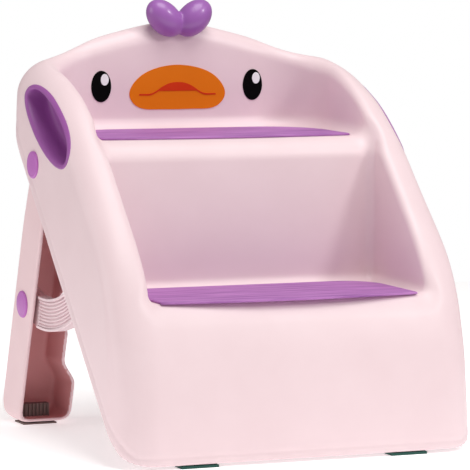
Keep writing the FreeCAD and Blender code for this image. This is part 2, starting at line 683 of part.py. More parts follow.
for label, side in SIDES:
    inner_r, outer_r, flange = dim("stay_inner"), dim("stay_outer"), dim("flange")
    low, high = dim("stay_x") - dim("stay_thick") / 2, dim("stay_x") + dim("stay_thick") / 2
    tip, root = -dim("stay_tip"), dim("stay_root")
    thick = "Dimensions.stay_thick"
    pieces = [ring_sector(f"stay_web_{label}", (inner_r, outer_r), (tip, root), low, thick, side)]
    for name, radius in (("inner", inner_r), ("outer", outer_r - flange)):
        pieces.append(ring_sector(f"stay_{name}_flange_{label}", (radius, radius + flange), (tip, 6),
                                  low, f"{thick} + Dimensions.flange_proud", side))
    ribs = int(dim("rib_count"))
    pitch = (outer_r - inner_r - 2 * flange) / (ribs + 1)
    for i in range(1, ribs + 1):
        radius = inner_r + flange + i * pitch - dim("rib_wide") / 2
        pieces.append(ring_sector(f"stay_rib_{i}_{label}", (radius, radius + dim("rib_wide")), (tip, 4),
                                  low, f"{thick} + Dimensions.rib_proud", side))
    pin_at = leg_point(dim("stay_pin_drop"), 0)
    pieces.append(add_rod(f"stay_collar_{label}", "Dimensions.collar_radius", high - 1, dim("leg_outer_x") - dim("leg_wall"),
                          side, *pin_at))
    bore = add_rod(f"stay_hole_{label}", "Dimensions.bolt_radius", low - 5, dim("leg_outer_x"), side, *pin_at)
    keep(f"arc_stay_{label}", add_cut(f"stay_{label}", add_fuse(f"stay_mass_{label}", *pieces), bore))
    shank = add_rod(f"stay_shank_{label}", "Dimensions.bolt_radius", low - 2, dim("leg_outer_x") - 0.2,
                    side, *pin_at)
    head = add_rod(f"stay_head_{label}", "Dimensions.bolt_head", low - dim("bolt_head_thick"), low,
                   side, *pin_at)
    keep(f"stay_pin_{label}", add_fuse(f"stay_bolt_{label}", shank, head))


# ---------------------------------------------------------------- rubber feet and pads

def add_mirrored_box(name, low, high, side):
    """A box given on the right, or its mirror image on the left."""
    ends = (side * low[0], side * high[0])
    return add_box(name, (min(ends), *low[1:]), (max(ends), *high[1:]))


for label, side in SIDES:
    sole, top = dim("sole"), dim("grip_top_z")
    floor = sole + dim("leg_wall")
    grip_low, grip_high = dim("grip_low_x"), dim("grip_high_x")
    front, rear = dim("grip_front_y"), dim("grip_rear_y")
    blocks = {
        "block": ((grip_low, front, floor), (grip_high, rear, top)),
        "stem": ((dim("stem_low_x"), front + 1, sole), (dim("stem_high_x"), rear - 1, floor)),
        "pad": ((dim("sole_low_x"), dim("sole_front_y"), 0), (grip_high, rear + 1, sole)),
    }
    pieces = [add_mirrored_box(f"grip_{name}_{label}", *ends, side) for name, ends in blocks.items()]
    for i in range(int(dim("grip_ribs"))):
        rib_low = grip_low + i * dim("grip_pitch")
        rib_high = rib_low + dim("grip_pitch") / 2
        pieces.append(add_mirrored_box(
            f"grip_rib_{i}_{label}", (rib_low, front - 1.4, floor), (rib_high, front + 1, top), side))
    keep(f"foot_grip_{label}", add_fuse(f"grip_{label}", *pieces))

for label, side in SIDES:
    half, gap = dim("pad_long") / 2, dim("ground_gap")
    x0, x1 = side * dim("pad_x") - half, side * dim("pad_x") + half
    front = dim("front_y")
    slab = add_box(f"pad_slab_{label}", (x0, front + 1.0, 0), (x1, front + dim("pad_deep"), gap))
    lip = add_box(f"pad_lip_{label}", (x0, front + dim("pad_lip_front"), gap),
                  (x1, front + dim("pad_lip_rear"), gap + dim("pad_lip")))
    keep(f"front_pad_{label}", add_fuse(f"pad_{label}", slab, lip))


# ---------------------------------------------------------------- check and write

doc.recompute()
for item in doc.Objects:
    if any(word in item.State for word in ("Invalid", "Error")):
        raise SystemExit(f"{item.Name} did not build: {item.State}")
os.makedirs("parts", exist_ok=True)
for name, item in nodes.items():
    shape = item.Shape
    if shape.isNull() or not shape.isValid():
        raise SystemExit(f"{name} has no valid shape")
    shape.exportStep(f"parts/{name}.step")
    box = shape.BoundBox
    print(f"{name}: {len(shape.Solids)} solid, {shape.Volume / 1000:.1f} cm3, "
          f"x {box.XMin:.1f}..{box.XMax:.1f} y {box.YMin:.1f}..{box.YMax:.1f} z {box.ZMin:.1f}..{box.ZMax:.1f}")
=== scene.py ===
import math

import bpy
import numpy as np
from mathutils import Matrix, Vector


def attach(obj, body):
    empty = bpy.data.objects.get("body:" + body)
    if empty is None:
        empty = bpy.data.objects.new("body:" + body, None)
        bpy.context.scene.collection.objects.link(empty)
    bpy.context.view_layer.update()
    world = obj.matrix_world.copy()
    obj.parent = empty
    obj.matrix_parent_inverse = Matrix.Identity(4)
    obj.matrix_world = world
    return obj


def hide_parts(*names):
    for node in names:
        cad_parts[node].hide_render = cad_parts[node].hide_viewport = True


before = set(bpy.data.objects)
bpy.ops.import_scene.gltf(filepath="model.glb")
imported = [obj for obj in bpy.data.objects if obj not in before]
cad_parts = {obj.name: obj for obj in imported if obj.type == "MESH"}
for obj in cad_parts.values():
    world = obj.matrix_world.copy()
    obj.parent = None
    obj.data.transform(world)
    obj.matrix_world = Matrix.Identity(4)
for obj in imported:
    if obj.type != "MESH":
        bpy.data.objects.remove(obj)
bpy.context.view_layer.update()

MM = 0.001
TINY = 1e-9
SIDES = (("left", -1), ("right", 1))

# Sizes in millimetres, in the frame's axes: +X to the right of someone facing the steps,
# +Y towards the rear legs, +Z up.

# outside of the body
BASE_HALF = 190.0
SIDE_DRAFT = 9.6 / 360
TUCK, TUCK_DEPTHS, TUCK_HEIGHTS = 4.0, (-40, 5), (160, 250)
TUCK_LOST, TUCK_LOST_Y = 0.7, (30, 150)
GROUND_GAP = 2.5
FRONT_Y, FRONT_LEAN = -170.0, 12.0 / 146
FRONT_CORNER, RIM_OUTER, RIM_INNER, HEAD_RIM = 40.0, 27.0, 9.0, 17.0
SLOPE_Y, SLOPE_Z, SLOPE = -134.0, 187.0, 94.5 / 120
FRONT_BEND, KNEE = 60.0, 52.0
RAIL_TOP_Y, RAIL_TOP_Z, RAIL_FALL, RAIL_FALL_REACH = 112.0, 356.0, 0.0031, 150.0
HEAD_Z, HEAD_FALL, CROWN = 402.0, 0.27, 30.0
HEAD_BLEND_Y = (45, 150)
CORNER_TO_RIM_Z, RIM_TO_SHOULDER_Y, RIM_TO_SHOULDER_Z = (110, 215), (20, 110), (290, 350)
REAR_Y, REAR_CORNER, REAR_MIDDLE, REAR_CORNER_X, SHOULDER = 169.5, 56.0, 14.0, (70, 160), 28.0
BACK_Y, BACK_Z, BACK_SLOPE, HEEL = -134.0, 27.0, 1.0, 12.0
BRIDGE, BRIDGE_X, BRIDGE_Z = 13.0, (140, 152), (250, 290)
LIP, LIP_DEEP, LIP_WIDE = 8.0, 1.1, 1.8
WALL, EDGE = 6.0, 1.4

# space between the rails
CAVITY_HALF, LOW_STEP, HIGH_STEP = 146.0, 150.0, 293.0
RISER_Y, RISER_LEAN, NOSE, STEP_ROUND = -14.0, 6.0 / 143, 21.0, 9.0
PANEL_Y, PANEL_CORNER, PANEL_ROUND = 141.0, 55.0, 14.0
FRONT_LIP_Z, FRONT_LIP_Y, HEAD_RIM_Y = (150, 175), (-150, -100), (40, 125)

# hinge and legs
PIVOT_Y, PIVOT_Z, LEG_TILT = 74.5, 266.0, math.radians(16.0)
LEG_OUTER, LEG_INNER, LEG_WALL, FOOT_FLARE, SOLE = 177.0, 134.0, 3.5, 14.0, 1.5
LEG_TOP, LEG_ROUND, LEG_EDGE, LEG_SWELL, LEG_SWELL_TO = 20.0, 19.0, 3.5, 4.5, 80
FOOT_Z, FOOT_FRONT_ROUND, FOOT_REAR_ROUND, FOOT_SIDE_ROUND = (40, 68), 6.0, 25.0, 13.0
FOOT_ROUND_AHEAD = (-6, 10)
ROOM_TOP, ROOM_ROUND, ROOM_FOOT_ROUND = 34.0, 8.0, 10.0
BEAM_TOP, BEAM_LOW, BEAM_FRONT, BEAM_REAR = 24.0, 84.0, 20.0, 23.0
NOTCH_DROP, NOTCH_SLOPE, BORE = 142.0, 1.1, 5.1
STAY_PIN_DROP = 148.0

# crest
CREST_Y, CREST_Z, LOBE_X, LOBE_LEAN = 139.0, 406.0, 16.5, math.radians(45)
LOBE_LONG, LOBE_SHORT, LOBE_DEEP = 22.0, 15.5, 15.0
CREST_SUNK = 1.5

# hand-hold cups, and how far from the middle plane their holes in the body begin
HAND_HOLE_X = 150.0
CUP_Y, CUP_Z, CUP_LONG, CUP_SHORT, CUP_TILT = 46.5, 305.5, 61.5, 20.0, math.radians(30.0)


# ---------------------------------------------------------------- shape fields
# A field is negative inside a shape, positive outside, and about the distance to its surface in mm.

def common(a, b, r):
    """What is inside both shapes, with the edge between them rounded."""
    corner = np.hypot(np.maximum(a + r, 0), np.maximum(b + r, 0))
    return np.minimum(-r, np.maximum(a, b)) + corner


def union(a, b, r):
    """What is inside either shape, with the corner between them rounded."""
    return -common(-a, -b, r)


def fade(low, high, value):
    """0 below low, 1 above high, and smooth between."""
    t = np.clip((value - low) / (high - low), 0, 1)
    return t * t * (3 - 2 * t)


def body_outside(x, y, z):
    """The body without its stepped space: leaning front, sloped rails, headboard and side walls."""
    wide = np.abs(x)
    front = (FRONT_Y + FRONT_LEAN * (z - GROUND_GAP) - y) / math.hypot(1, FRONT_LEAN)
    slope = (SLOPE_Y + SLOPE * (z - SLOPE_Z) - y) / math.hypot(1, SLOPE)
    ahead = np.maximum(RAIL_TOP_Y - y, 0)
    near = np.minimum(ahead, RAIL_FALL_REACH)
    steepness = 2 * RAIL_FALL * RAIL_FALL_REACH
    rail = RAIL_TOP_Z - RAIL_FALL * near ** 2 - steepness * (ahead - near)
    crown = np.hypot(x, CROWN)
    head = HEAD_Z - HEAD_FALL * (crown - CROWN)
    behind = fade(*HEAD_BLEND_Y, y)
    lean_x = HEAD_FALL * x / crown * behind
    lean_y = 2 * RAIL_FALL * near * (1 - behind)
    roof = (z - rail - (head - rail) * behind) / np.sqrt(1 + lean_x ** 2 + lean_y ** 2)
    top = common(common(front, slope, FRONT_BEND), roof, KNEE)
    ridge = common(slope, roof, KNEE)
    tucked = fade(*TUCK_DEPTHS, ridge) * fade(*TUCK_HEIGHTS, z) * (1 - TUCK_LOST * fade(*TUCK_LOST_Y, y))
    side = wide - BASE_HALF + SIDE_DRAFT * z + TUCK * tucked
    rounding = FRONT_CORNER + (RIM_OUTER - FRONT_CORNER) * fade(*CORNER_TO_RIM_Z, z)
    shoulder = fade(*RIM_TO_SHOULDER_Y, y) * fade(*RIM_TO_SHOULDER_Z, z)
    rounding = rounding + (SHOULDER - RIM_OUTER) * shoulder
    rear_round = REAR_MIDDLE + (REAR_CORNER - REAR_MIDDLE) * fade(*REAR_CORNER_X, wide)
    return common(common(side, top, rounding), y - REAR_Y, rear_round)


def stepped_space(x, y, z):
    """The space above the two steps, between the rails and in front of the headboard."""
    width = np.abs(x) - CAVITY_HALF
    riser = y - RISER_Y - RISER_LEAN * (z - LOW_STEP)
    low = common(common(LOW_STEP - z, riser, STEP_ROUND), width, STEP_ROUND)
    high = common(common(y - PANEL_Y, width, PANEL_CORNER), HIGH_STEP - z, PANEL_ROUND)
    return union(low, high, NOSE)


def back_line(y, z):
    """How far a point is behind the slanted rear edges of the side walls."""
    return (y - BACK_Y - BACK_SLOPE * (z - BACK_Z)) / math.hypot(1, BACK_SLOPE)


def behind_back(x, y, z):
    """Positive behind the rear edges and below the base; a bridge runs on behind the upper step."""
    bridge = BRIDGE * (1 - fade(*BRIDGE_X, np.abs(x))) * fade(*BRIDGE_Z, z)
    return common(back_line(y, z) - bridge, GROUND_GAP - z, HEEL)


def oval(y, z):
    """Across the hand-hold's ellipse."""
    along = (y - CUP_Y) * math.cos(CUP_TILT) + (z - CUP_Z) * math.sin(CUP_TILT)
    across = (z - CUP_Z) * math.cos(CUP_TILT) - (y - CUP_Y) * math.sin(CUP_TILT)
    share = np.hypot(along / CUP_LONG, across / CUP_SHORT)
    slope = np.hypot(along / CUP_LONG ** 2, across / CUP_SHORT ** 2) + TINY
    return share * (share - 1) / slope


def body_mass(x, y, z):
    """The body as if it were solid, with rounded rims and a shallow groove inside its lower edges."""
    front_lip = (1 - fade(*FRONT_LIP_Z, z)) * (1 - fade(*FRONT_LIP_Y, y))
    rim = RIM_INNER + (NOSE - RIM_INNER) * front_lip + (HEAD_RIM - RIM_INNER) * fade(*HEAD_RIM_Y, y)
    from_edge = np.maximum(back_line(y, z), GROUND_GAP - z)
    groove = LIP_DEEP * np.exp(-((from_edge + LIP) / LIP_WIDE) ** 2)
    return common(body_outside(x, y, z) + groove, -stepped_space(x, y, z), rim)


def body_field(x, y, z):
    """The moulded body: a wall of even thickness, open below and behind."""
    mass = body_mass(x, y, z)
    body = common(mass, -WALL - mass, 1)
    body = common(body, behind_back(x, y, z), EDGE)
    hole = np.maximum(oval(y, z), HAND_HOLE_X - np.abs(x))
    return common(body, -hole, 0.5)


def leg_place(y, z):
    """How far down the leg a point is from the pivot, and how far ahead of its middle line."""
    back, up = y - PIVOT_Y, z - PIVOT_Z
    along = back * math.sin(LEG_TILT) - up * math.cos(LEG_TILT)
    ahead = -back * math.cos(LEG_TILT) - up * math.sin(LEG_TILT)
    return along, ahead


def leg_point(along, ahead):
    """The (y, z) of a place on the leg."""
    return (
        PIVOT_Y + along * math.sin(LEG_TILT) - ahead * math.cos(LEG_TILT),
        PIVOT_Z - along * math.cos(LEG_TILT) - ahead * math.sin(LEG_TILT),
    )


def heel_round(ahead):
    """How round the foot's lower edge is: much at the rear, little at the front."""
    return FOOT_FRONT_ROUND + (FOOT_REAR_ROUND - FOOT_FRONT_ROUND) * (1 - fade(*FOOT_ROUND_AHEAD, ahead))


def leg_half(along):
    """Half the leg's depth, which swells a little on the way down."""
    return LEG_TOP + LEG_SWELL * fade(0, LEG_SWELL_TO, along)


def leg_inner(z):
    """How far from the middle plane the leg's inboard face is: the foot flares inwards."""
    return LEG_INNER - FOOT_FLARE * (1 - fade(*FOOT_Z, z))


def leg_mass(x, y, z):
    """The two legs and their beam as if they were solid."""
    wide = np.abs(x)
    along, ahead = leg_place(y, z)
    half, inner = leg_half(along), leg_inner(z)
    edge = np.maximum(ahead - half, -ahead - half)
    outline = common(common(edge, -LEG_TOP - along, LEG_ROUND), SOLE - z, heel_round(ahead))
    sides = common(np.maximum(wide - LEG_OUTER, inner - wide), SOLE - z, FOOT_SIDE_ROUND)
    leg = common(outline, sides, LEG_EDGE)
    depth = np.maximum(ahead - BEAM_FRONT, -ahead - BEAM_REAR)
    beam = common(depth, np.maximum(BEAM_TOP - along, along - BEAM_LOW), 6)
    beam = common(beam, wide - LEG_INNER - LEG_WALL, 1)
    return union(leg, beam, 2)


def leg_field(x, y, z):
    """The leg frame: two channel legs, open at the front, joined by a channel beam."""
    wide = np.abs(x)
    along, ahead = leg_place(y, z)
    half, inner = leg_half(along), leg_inner(z)
    floor_z = SOLE + LEG_WALL
    room = common(LEG_WALL - half - ahead, ROOM_TOP - along, ROOM_ROUND)
    room = common(room, floor_z - z, heel_round(ahead))
    room_sides = np.maximum(wide - LEG_OUTER + LEG_WALL, inner + LEG_WALL - wide)
    room = common(room, common(room_sides, floor_z - z, ROOM_FOOT_ROUND), 4)
    beam_run = np.maximum(BEAM_TOP + LEG_WALL - along, along - BEAM_LOW + LEG_WALL)
    beam_room = common(LEG_WALL - BEAM_REAR - ahead, beam_run, 4)
    beam_room = common(beam_room, wide - LEG_INNER, 4)
    notch = np.maximum(np.abs(along - NOTCH_DROP) - NOTCH_SLOPE * (ahead + 4), wide - LEG_INNER - 6) / 1.5
    room = union(union(room, beam_room, 1), notch, 1)
    bore = BORE - np.hypot(y - PIVOT_Y, z - PIVOT_Z)
    return common(common(leg_mass(x, y, z), -room, 1.3), bore, 0.4)


def crest_field(x, y, z):
    """Two leaning egg-shaped lobes that grow together at the foot, sunk a little into the headboard."""
    wide = np.sqrt(x * x + 4) - LOBE_X
    up, back = z - CREST_Z, y - CREST_Y
    long = up * math.cos(LOBE_LEAN) + wide * math.sin(LOBE_LEAN)
    short = wide * math.cos(LOBE_LEAN) - up * math.sin(LOBE_LEAN)
    runs = ((long, LOBE_LONG), (short, LOBE_SHORT), (back, LOBE_DEEP))
    share = np.sqrt(sum((run / size) ** 2 for run, size in runs))
    slope = np.sqrt(sum((run / size ** 2) ** 2 for run, size in runs)) + TINY
    return np.maximum(share * (share - 1) / slope, -CREST_SUNK - body_mass(x, y, z))


# ---------------------------------------------------------------- fields to meshes

def net(field, low, high, step):
    """A mesh on the field's zero surface: one vertex in each crossed cell, moved onto the surface."""
    axes = [np.arange(a, b + step, step, dtype=np.float64) for a, b in zip(low, high)]
    grid = np.meshgrid(*axes, indexing="ij", sparse=True)
    value = field(*grid)
    inside = value < 0
    size = [len(axis) - 1 for axis in axes]
    corners = [(i, j, k) for i in (0, 1) for j in (0, 1) for k in (0, 1)]

    def part(array, corner):
        return array[tuple(slice(c, c + n) for c, n in zip(corner, size))]

    count = sum(part(inside, c).astype(np.int8) for c in corners)
    cells = np.argwhere((count > 0) & (count < 8))
    number = np.full(size, -1)
    number[tuple(cells.T)] = np.arange(len(cells))
    total, hits = np.zeros((len(cells), 3)), np.zeros(len(cells))
    for axis in range(3):
        for start in corners:
            if start[axis]:
                continue
            end = tuple(c + (n == axis) for n, c in enumerate(start))
            a = value[tuple((cells + start).T)]
            b = value[tuple((cells + end).T)]
            crossed = (a < 0) != (b < 0)
            share = np.where(crossed, a / np.where(crossed, a - b, 1), 0)
            place = np.tile(np.array(start, float), (len(cells), 1))
            place[:, axis] += share
            total += place * crossed[:, None]
            hits += crossed
    points = np.array(low) + (cells + total / hits[:, None]) * step
    for _ in range(3):
        slope = np.stack([
            field(*(points + shift).T) - field(*(points - shift).T) for shift in 0.05 * np.eye(3)
        ], 1) / 0.1
        move = field(*points.T) / np.maximum((slope ** 2).sum(1), 0.25)
        points -= np.clip(move[:, None] * slope, -step / 2, step / 2)
    faces = []
    for axis in range(3):
        u, v = (axis + 1) % 3, (axis + 2) % 3
        first = tuple(slice(0, n) if k == axis else slice(1, n) for k, n in enumerate(size))
        second = tuple(slice(1, n + 1) if k == axis else slice(1, n) for k, n in enumerate(size))
        change = inside[first] != inside[second]
        place = np.argwhere(change)
        place[:, [u, v]] += 1
        ring = []
        for du, dv in ((1, 1), (0, 1), (0, 0), (1, 0)):
            cell = place.copy()
            cell[:, u] -= du
            cell[:, v] -= dv
            ring.append(number[tuple(cell.T)])
        quad = np.stack(ring, 1)
        flip = ~inside[tuple(place.T)]
        quad[flip] = quad[flip][:, ::-1]
        faces.append(quad)
    return points, np.concatenate(faces)


def add_piece(name, points, faces, node, body, material, smooth=True):
    """An object of the visual model, from points in millimetres."""
    mesh = bpy.data.meshes.new(name)
    mesh.from_pydata((np.asarray(points) * MM).tolist(), [], [list(map(int, f)) for f in faces])
    mesh.validate()
    mesh.update()
    if smooth:
        mesh.shade_smooth()
    piece = bpy.data.objects.new(name, mesh)
    bpy.context.collection.objects.link(piece)
    piece.data.materials.append(material)
    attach(piece, body)
    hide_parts(node)
    return piece


def rings_mesh(rings):
    """Points and faces of a skin over rings of equal length, with its two ends filled in."""
    count = len(rings[0])
    points = np.concatenate(rings)
    faces = []
    for i in range(len(rings) - 1):
        a, b = i * count, (i + 1) * count
        for j in range(count):
            k = (j + 1) % count
            faces.append((a + j, a + k, b + k, b + j))
    faces.append(tuple(reversed(range(count))))
    faces.append(tuple(range((len(rings) - 1) * count, len(rings) * count)))
    return points, faces


# ---------------------------------------------------------------- materials

def linear(red, green, blue):
    """Display colour 0..255 to the renderer's own scale."""
    shares = [c / 255 for c in (red, green, blue)]
    return [s / 12.92 if s <= 0.04045 else ((s + 0.055) / 1.055) ** 2.4 for s in shares] + [1]


def make_material(name, colour, other, rough=(0.4, 0.5), grain=900.0, bump=0.06, blotch=14.0,
                  stretch=(1, 1, 1), specular=0.5, coat=0.0, depth=0.0004):
    """Moulded plastic or rubber: two close colours in soft blotches, a fine grain and uneven gloss."""
    material = bpy.data.materials.new(name)
    material.use_nodes = True
    nodes, links = material.node_tree.nodes, material.node_tree.links
    shader = nodes["Principled BSDF"]
    shader.inputs["Specular IOR Level"].default_value = specular
    shader.inputs["Coat Weight"].default_value = coat
    shader.inputs["Coat Roughness"].default_value = 0.12
    place = nodes.new("ShaderNodeTexCoord")
    scale = nodes.new("ShaderNodeMapping")
    scale.inputs["Scale"].default_value = stretch
    links.new(place.outputs["Object"], scale.inputs["Vector"])

    def noise(size, detail):
        texture = nodes.new("ShaderNodeTexNoise")
        texture.inputs["Scale"].default_value = size
        texture.inputs["Detail"].default_value = detail
        links.new(scale.outputs["Vector"], texture.inputs["Vector"])
        return texture.outputs["Fac"]

    ramp = nodes.new("ShaderNodeValToRGB")
    ramp.color_ramp.elements[0].position = 0.3
    ramp.color_ramp.elements[1].position = 0.7
    ramp.color_ramp.elements[0].color = linear(*colour)
    ramp.color_ramp.elements[1].color = linear(*other)
    links.new(noise(blotch, 4), ramp.inputs["Fac"])
    links.new(ramp.outputs["Color"], shader.inputs["Base Color"])
    gloss = nodes.new("ShaderNodeMapRange")
    gloss.inputs["To Min"].default_value, gloss.inputs["To Max"].default_value = rough
    links.new(noise(blotch * 6, 6), gloss.inputs["Value"])
    links.new(gloss.outputs["Result"], shader.inputs["Roughness"])
    relief = nodes.new("ShaderNodeBump")
    relief.inputs["Strength"].default_value = bump
    relief.inputs["Distance"].default_value = depth
    links.new(noise(grain, 3), relief.inputs["Height"])
    links.new(relief.outputs["Normal"], shader.inputs["Normal"])
    return material


pink = make_material("pink_plastic", (236, 212, 216), (240, 217, 221), rough=(0.36, 0.5), bump=0.12)
leg_pink = make_material("leg_pink_plastic", (236, 206, 210), (241, 213, 216), rough=(0.38, 0.52), bump=0.12)
# painted shade: a darker, redder copy of the leg's pink that stands for the shade inside the leg channels,
# not for a different plastic
leg_painted_shade = make_material("leg_shade_painted_plastic", (218, 154, 156), (226, 163, 164), rough=(0.4, 0.55),
                           bump=0.12)
stay_pink = make_material("stay_pink_plastic", (236, 212, 217), (240, 218, 222), rough=(0.35, 0.48), bump=0.1)
mat_purple = make_material("mat_rubber", (138, 80, 150), (192, 130, 196), rough=(0.5, 0.75), grain=260,
                           bump=0.5, blotch=210, stretch=(0.06, 1, 1), specular=0.35, depth=0.0008)
cup_purple = make_material("cup_plastic", (152, 82, 158), (160, 90, 165), rough=(0.35, 0.5))
cap_purple = make_material("cap_plastic", (184, 104, 186), (192, 112, 194), rough=(0.28, 0.42), bump=0.08)
crest_purple = make_material("crest_plastic", (150, 90, 168), (160, 100, 178), rough=(0.3, 0.42), bump=0.2,
                             coat=0.2, grain=420, stretch=(1, 1, 0.2))
beak_orange = make_material("beak_film", (226, 116, 2), (232, 122, 4), rough=(0.4, 0.5), bump=0.06,
                            specular=0.2)
mouth_red = make_material("mouth_film", (206, 48, 4), (213, 56, 9), rough=(0.4, 0.5), bump=0.06,
                          specular=0.2)
eye_black = make_material("eye_film", (2, 2, 3), (6, 5, 6), rough=(0.5, 0.6), bump=0.04, specular=0.05)
eye_white = make_material("glint_film", (240, 241, 242), (247, 248, 248), rough=(0.3, 0.4), bump=0.04)
steel = make_material("pin_metal", (170, 170, 174), (186, 186, 190), rough=(0.25, 0.4), grain=400,
                      stretch=(1, 6, 6))
steel.node_tree.nodes["Principled BSDF"].inputs["Metallic"].default_value = 1.0
nylon = make_material("washer_nylon", (226, 224, 218), (233, 231, 226), rough=(0.4, 0.55))
grip_grey = make_material("grip_rubber", (112, 95, 92), (126, 109, 105), rough=(0.6, 0.8), bump=0.3,
                          grain=500, specular=0.3)
pad_green = make_material("pad_rubber", (34, 78, 70), (44, 90, 80), rough=(0.55, 0.75), bump=0.3,
                          grain=500, specular=0.3)


# ---------------------------------------------------------------- body

def skin_x(y, z):
    """Half width of the body at (y, z), by halving."""
    low, high = np.full(np.shape(y), 140.0), np.full(np.shape(y), 195.0)
    for _ in range(26):
        middle = (low + high) / 2
        outside = body_outside(middle, y, z) > 0
        high = np.where(outside, middle, high)
        low = np.where(outside, low, middle)
    return low


points, faces = net(body_field, (-193.6, -173.8, 0.0), (193.6, 173.8, 406.0), 2.2)
add_piece("body_moulding", points, faces, "body_shell", "stool", pink)

points, faces = net(crest_field, (-48, 120, 372), (48, 162, 432), 1.0)
add_piece("crest_lobes", points, faces, "crest", "stool", crest_purple)

points, faces = net(leg_field, (-180, 44, 0), (180, 176, 292), 2.0)
legs = add_piece("leg_moulding", points, faces, "leg_frame", "legs", leg_pink)
legs.data.materials.append(leg_painted_shade)
# painted shade: the faces inside the leg channels get the darker copy of the leg's pink
middles = points[faces].mean(1)
down = leg_place(middles[:, 1], middles[:, 2])[0]
wide = np.abs(middles[:, 0])
painted_shade_faces = (leg_mass(*middles.T) < -2) & (down > 32)  # faces of the room inside the channels
painted_shade_faces &= (wide > LEG_INNER + 2) | (middles[:, 2] < 62)  # but not of the beam or the notch
legs.data.polygons.foreach_set("material_index", painted_shade_faces.astype(np.int32))


# ---------------------------------------------------------------- mats

def mat_outline(front_y, corner, inset):
    """The mat's edge, moved inwards: bowed front, round rear corners."""
    half, depth, bow = 135.0, 108.0, 9.0
    across = np.linspace(-half, half, 41)
    front = [(x * (half - inset) / half, front_y + inset + bow * (x / half) ** 2) for x in across]
    rear_y = front_y + bow + depth
    edge = []
    for x_sign, turn in ((1, np.linspace(0, math.pi / 2, 17)), (-1, np.linspace(math.pi / 2, 0, 17))):
        for angle in turn:
            reach = corner - inset
            edge.append((x_sign * (half - corner + reach * math.cos(angle)),
                         rear_y - corner + reach * math.sin(angle)))
    return np.array(front + edge)


for name, front_y, step_z, corner in (
    ("lower", -141.0, LOW_STEP, 38.0), ("upper", 10.0, HIGH_STEP, 58.0),
):
    profile = [(0.6, 0), (0, 0.4), (0, 1.5), (0.4, 2.1), (1.1, 2.4), (2.2, 2.5)]
    rings = []
    for inset, height in profile:
        outline = mat_outline(front_y, corner, inset)
        rings.append(np.column_stack([outline, np.full(len(outline), step_z + height)]))
    points, faces = rings_mesh(rings)
    add_piece(f"{name}_mat_sheet", points, faces, f"{name}_step_mat", "stool", mat_purple)


# ---------------------------------------------------------------- cups and caps

def oval_ring(grow, x, side, follow):
    """A ring of the hand-hold: at x, or at x from the body's skin when it follows it."""
    turn = np.linspace(0, 2 * math.pi, 96, endpoint=False) * side
    along, across = (CUP_LONG + grow) * np.cos(turn), (CUP_SHORT + grow) * np.sin(turn)
    y = CUP_Y + along * math.cos(CUP_TILT) - across * math.sin(CUP_TILT)
    z = CUP_Z + along * math.sin(CUP_TILT) + across * math.cos(CUP_TILT)
    place = skin_x(y, z) + x if follow else np.full(len(y), x)
    return np.column_stack([side * place, y, z])


CUP_BOTTOM = 156.2
for label, side in SIDES:
    rings = [oval_ring(-14, CUP_BOTTOM, side, False)]
    for grow, x in ((-2, CUP_BOTTOM), (-0.2, CUP_BOTTOM + 2)):
        rings.append(oval_ring(grow, x, side, False))
    for grow, x in ((-0.2, -2), (3.0, -0.6), (3.5, 0.1), (3.3, 0.5), (2.4, 0.8), (0.8, 0.8), (-0.6, 0.4),
                    (-1.6, -0.8), (-2.2, -3.5)):
        rings.append(oval_ring(grow, x, side, True))
    for grow, x in ((-3.0, CUP_BOTTOM + 10), (-3.6, CUP_BOTTOM + 5.5), (-5.2, CUP_BOTTOM + 3.2),
                    (-8, CUP_BOTTOM + 2.3), (-14, CUP_BOTTOM + 2)):
        rings.append(oval_ring(grow, x, side, False))
    points, faces = rings_mesh(rings)
    add_piece(f"cup_{label}_tray", points, faces, f"handle_cup_{label}", "stool", cup_purple)


def lathe(profile, side, x, y, z):
    """A turned shape about the X axis through (y, z): (radius, height) pairs, outwards from x."""
    count = 72
    turn = np.linspace(0, 2 * math.pi, count, endpoint=False) * side
    rings = []
    for radius, height in profile:
        rings.append(np.column_stack([
            np.full(count, side * (x + height)), y + radius * np.cos(turn), z + radius * np.sin(turn)]))
    return rings_mesh(rings)


CAP = [(6, -1.2), (13.2, -1.2), (13.5, -0.6), (13.5, 0.6), (13.1, 1.35), (12.2, 1.85), (10.8, 2.05),
       (10.2, 1.9), (9.6, 2.05), (7, 2.3), (3.5, 2.4), (0.8, 2.42)]
for label, side in SIDES:
    for part, body, place, x in (
        ("pivot", "stool", (PIVOT_Y, PIVOT_Z), float(skin_x(PIVOT_Y, PIVOT_Z)) + 0.2),
        ("leg", "legs", leg_point(STAY_PIN_DROP, 0), LEG_OUTER),
    ):
        points, faces = lathe(CAP, side, x, *place)
        add_piece(f"{part}_button_{label}", points, faces, f"{part}_cap_{label}", body,
                  cap_purple)


# ---------------------------------------------------------------- arc stays

STAY_INNER, STAY_OUTER, STAY_X, STAY_THICK, FLANGE = 132.0, 164.0, 165.0, 9.0, 2.6
RIBS, GROOVE = 8, 1.3
STAY_TIP, STAY_END, STAY_ROOT = -28.0, 6.0, 22.0


def stay_section():
    """Across the ribbed part: (radius, x) points of the web, its flanges and its ribs, one way round."""
    low, high = -STAY_THICK / 2, STAY_THICK / 2
    face = [(STAY_INNER, low), (STAY_INNER, high + 1.9), (STAY_INNER + 0.4, high + 2.2),
            (STAY_INNER + FLANGE - 0.4, high + 2.2), (STAY_INNER + FLANGE, high + 1.8)]
    first, last = STAY_INNER + FLANGE, STAY_OUTER - FLANGE
    pitch = (last - first) / RIBS
    for i in range(RIBS):
        start = first + i * pitch
        end = start + pitch
        face += [(start + 0.1, high - GROOVE), (start + 0.9, high - GROOVE), (start + 1.4, high + 0.5),
                 (start + 2.0, high + 0.9), (end - 0.9, high + 0.9), (end - 0.3, high + 0.4)]
    face += [(last, high - GROOVE), (last, high + 1.8), (last + 0.4, high + 2.2),
             (STAY_OUTER - 0.4, high + 2.2), (STAY_OUTER, high + 1.9), (STAY_OUTER, low)]
    return face


